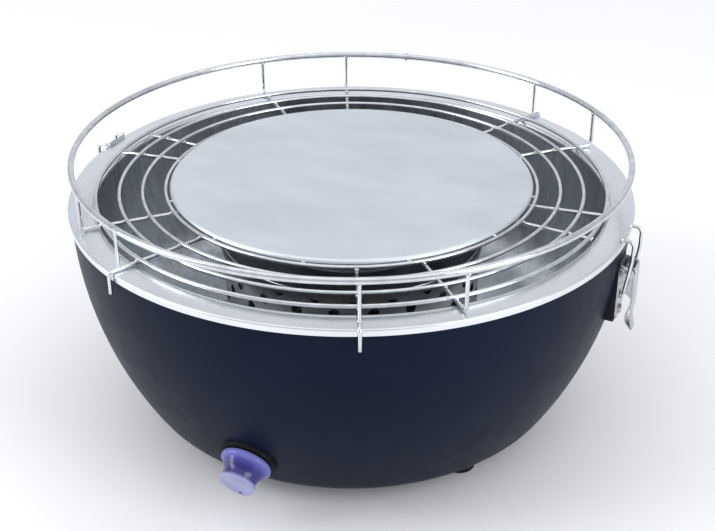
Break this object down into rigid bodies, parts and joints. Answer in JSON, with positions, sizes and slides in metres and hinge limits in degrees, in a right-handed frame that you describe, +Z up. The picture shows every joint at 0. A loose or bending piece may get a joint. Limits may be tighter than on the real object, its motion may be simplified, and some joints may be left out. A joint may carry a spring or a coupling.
{
  "type": "portable tabletop grill",
  "caption": "Round fan-assisted charcoal tabletop grill: blue steel bowl on feet, stainless inner bowl, covered basket, wire grate with centre plate and guard ring, side latches, control knob.",
  "frame": {"origin": "on the ground under the bowl's centre", "axes": "+Z up, front with the control knob towards -Y, latches on +X and -X"},
  "size_m": [0.368, 0.35, 0.178],
  "materials": {
    "navy_enamel": "satin dark blue enamel on steel",
    "satin_stainless": "spun satin stainless steel",
    "plate_stainless": "matt stainless cooking plate",
    "bright_wire": "polished stainless wire",
    "latch_steel": "pressed stainless latch parts",
    "lilac_plastic": "satin lilac plastic",
    "violet_mark": "violet pointer mark",
    "black_rubber": "soft black rubber",
    "black_plastic": "heat-resistant black plastic",
    "zinc_steel": "zinc-plated steel",
    "fan_plastic": "dark grey moulded plastic",
    "cell_wrap": "plain battery jacket",
    "spring_brass": "plated contact",
    "red_insulation": "wire insulation",
    "black_insulation": "wire insulation",
    "blue_insulation": "wire insulation"
  },
  "bodies": {
    "base": {"air_diffuser": "satin_stainless", "battery_box": "black_plastic", "battery_cells": "cell_wrap", "battery_contacts": "spring_brass", "battery_lid": "black_plastic", "control_nut": "zinc_steel", "fan_housing": "fan_plastic", "feet": "black_rubber", "foot_nuts": "zinc_steel", "foot_screws": "zinc_steel", "heat_shield": "zinc_steel", "housing_cover": "fan_plastic", "inner_bowl": "satin_stainless", "intake_grille": "black_plastic", "knob_gasket": "black_rubber", "latch_rivets": "latch_steel", "left_latch_base": "latch_steel", "left_latch_pad": "black_rubber", "left_lever_pin": "latch_steel", "lid_screw": "zinc_steel", "motor": "zinc_steel", "motor_wire": "blue_insulation", "outer_bowl": "navy_enamel", "return_wire": "black_insulation", "right_latch_base": "latch_steel", "right_latch_pad": "black_rubber", "right_lever_pin": "latch_steel", "shield_standoffs": "zinc_steel", "speed_control": "black_plastic", "supply_wire": "red_insulation"},
    "knob": {"knob": "lilac_plastic", "control_shaft": "latch_steel", "pointer_dot": "violet_mark"},
    "fan": {"impeller": "fan_plastic", "motor_shaft": "latch_steel"},
    "grate": {"grate_plate": "plate_stainless", "grate_ring_1": "bright_wire", "grate_ring_2": "bright_wire", "grate_ring_3": "bright_wire", "grate_ring_4": "bright_wire", "plate_tabs": "bright_wire", "hook_bars": "bright_wire", "short_bars": "bright_wire", "guard_posts": "bright_wire", "hook_posts": "bright_wire", "guard_ring": "bright_wire"},
    "basket": {"charcoal_basket": "satin_stainless", "basket_floor": "satin_stainless"},
    "basket_lid": {"basket_lid": "satin_stainless", "lid_grip": "bright_wire"},
    "starter_tray": {"starter_tray": "satin_stainless"},
    "right_lever": {"right_latch_lever": "latch_steel"},
    "left_lever": {"left_latch_lever": "latch_steel"},
    "right_bail": {"right_latch_bail": "bright_wire"},
    "left_bail": {"left_latch_bail": "bright_wire"}
  },
  "joints": [
    {"name": "knob_turn", "type": "hinge", "parent": "base", "child": "knob", "pos_m": [0, -0.14823, 0.04], "axis": [0, 0.8951, 0.4458], "range_deg": [0, 270]},
    {"name": "fan_spin", "type": "hinge", "parent": "base", "child": "fan", "pos_m": [0, 0, 0.0365], "axis": [0, 0, 1], "continuous": true},
    {"name": "right_latch_open", "type": "hinge", "parent": "base", "child": "right_lever", "pos_m": [0.179, 0, 0.129], "axis": [0, -1, 0], "range_deg": [0, 110]},
    {"name": "right_bail_swing", "type": "hinge", "parent": "right_lever", "child": "right_bail", "pos_m": [0.1778, 0, 0.117], "axis": [0, -1, 0], "range_deg": [-146, 0]},
    {"name": "left_latch_open", "type": "hinge", "parent": "base", "child": "left_lever", "pos_m": [-0.179, 0, 0.129], "axis": [0, 1, 0], "range_deg": [0, 110]},
    {"name": "left_bail_swing", "type": "hinge", "parent": "left_lever", "child": "left_bail", "pos_m": [-0.1778, 0, 0.117], "axis": [0, 1, 0], "range_deg": [-146, 0]},
    {"name": "grate_lift", "type": "slide", "parent": "base", "child": "grate", "axis": [0, 0, 1], "range_m": [0, 0.2]},
    {"name": "basket_lift", "type": "slide", "parent": "base", "child": "basket", "axis": [0, 0, 1], "range_m": [0, 0.1]},
    {"name": "lid_lift", "type": "slide", "parent": "basket", "child": "basket_lid", "axis": [0, 0, 1], "range_m": [0, 0.04]},
    {"name": "tray_lift", "type": "slide", "parent": "base", "child": "starter_tray", "axis": [0, 0, 1], "range_m": [0, 0.04]}
  ],
  "couplings": [
    {"joint": "right_bail_swing", "follows": "right_latch_open", "ratio": -1.318},
    {"joint": "left_bail_swing", "follows": "left_latch_open", "ratio": -1.318},
    {"joint": "basket_lift", "follows": "grate_lift", "ratio": 0.5},
    {"joint": "lid_lift", "follows": "grate_lift", "ratio": 0.2},
    {"joint": "tray_lift", "follows": "grate_lift", "ratio": 0.2}
  ]
}
